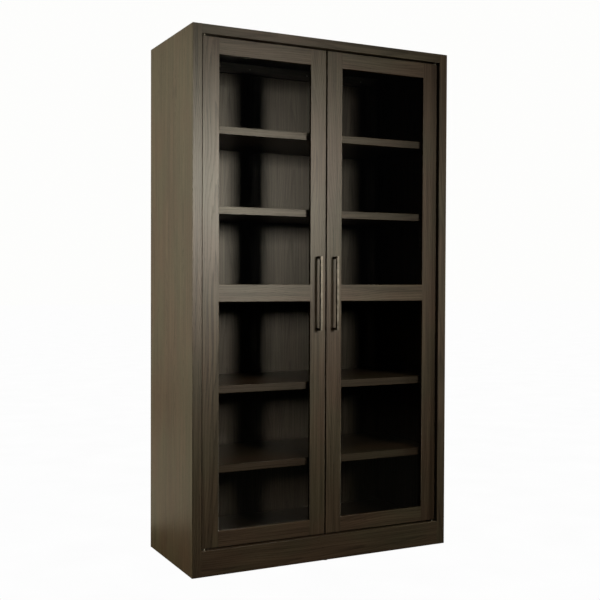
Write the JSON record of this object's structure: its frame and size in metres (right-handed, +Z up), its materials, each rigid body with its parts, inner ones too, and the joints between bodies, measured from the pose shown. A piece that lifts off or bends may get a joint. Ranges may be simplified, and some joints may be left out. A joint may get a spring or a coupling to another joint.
{
  "type": "china cabinet with glass doors",
  "caption": "Tall free-standing display cabinet with recessed glazed swing doors, adjustable shelves, bar handles and a flush base.",
  "frame": {"origin": "on the floor under the middle of the object's box, handles included", "axes": "+Z up, +X to the viewer's right when facing the doors, +Y towards the back; the doors face -Y"},
  "size_m": [1.155, 0.522, 2.1],
  "materials": {
    "stained_ash_upright": "dark brown-grey stained ash, grain running up, matt lacquer",
    "stained_ash_level": "dark brown-grey stained ash, grain running sideways, matt lacquer",
    "clear_glass": "clear float glass",
    "dark_bronze": "satin dark bronze",
    "nickel_fittings": "satin nickel plate",
    "beech_dowel": "raw fluted beech",
    "black_nylon": "moulded nylon",
    "brown_plastic": "moulded ABS",
    "clear_rubber": "soft clear polyurethane"
  },
  "bodies": {
    "carcass": {"left_side": "stained_ash_upright", "right_side": "stained_ash_upright", "top_panel": "stained_ash_level", "head_rail": "stained_ash_level", "bottom_panel": "stained_ash_level", "base_rail": "stained_ash_level", "middle_shelf": "stained_ash_level", "back_panel": "stained_ash_upright", "rear_top_rail": "stained_ash_level", "rear_base_rail": "stained_ash_level", "base_stretchers": "stained_ash_level", "upper_shelf_high": "stained_ash_level", "upper_shelf_low": "stained_ash_level", "lower_shelf_high": "stained_ash_level", "lower_shelf_low": "stained_ash_level", "shelf_pins": "nickel_fittings", "case_dowels": "beech_dowel", "back_screws": "nickel_fittings", "glides": "black_nylon", "pivot_bushes": "nickel_fittings", "magnetic_catches": "brown_plastic", "bumpers": "clear_rubber"},
    "left_door": {"left_hinge_stile": "stained_ash_upright", "left_meeting_stile": "stained_ash_upright", "left_door_top_rail": "stained_ash_level", "left_door_mid_rail": "stained_ash_level", "left_door_bottom_rail": "stained_ash_level", "left_upper_glass": "clear_glass", "left_lower_glass": "clear_glass", "left_upper_beads": "stained_ash_upright", "left_lower_beads": "stained_ash_upright", "left_pivots": "nickel_fittings", "left_handle": "dark_bronze", "left_handle_screws": "nickel_fittings", "left_strike": "nickel_fittings"},
    "right_door": {"right_hinge_stile": "stained_ash_upright", "right_meeting_stile": "stained_ash_upright", "right_door_top_rail": "stained_ash_level", "right_door_mid_rail": "stained_ash_level", "right_door_bottom_rail": "stained_ash_level", "right_upper_glass": "clear_glass", "right_lower_glass": "clear_glass", "right_upper_beads": "stained_ash_upright", "right_lower_beads": "stained_ash_upright", "right_pivots": "nickel_fittings", "right_handle": "dark_bronze", "right_handle_screws": "nickel_fittings", "right_strike": "nickel_fittings"}
  },
  "joints": [
    {"name": "left_door_swing", "type": "hinge", "parent": "carcass", "child": "left_door", "pos_m": [-0.5255, -0.221, 1.0825], "axis": [0, 0, -1], "range_deg": [0, 100]},
    {"name": "right_door_swing", "type": "hinge", "parent": "carcass", "child": "right_door", "pos_m": [0.5255, -0.221, 1.0825], "axis": [0, 0, 1], "range_deg": [0, 100]}
  ]
}
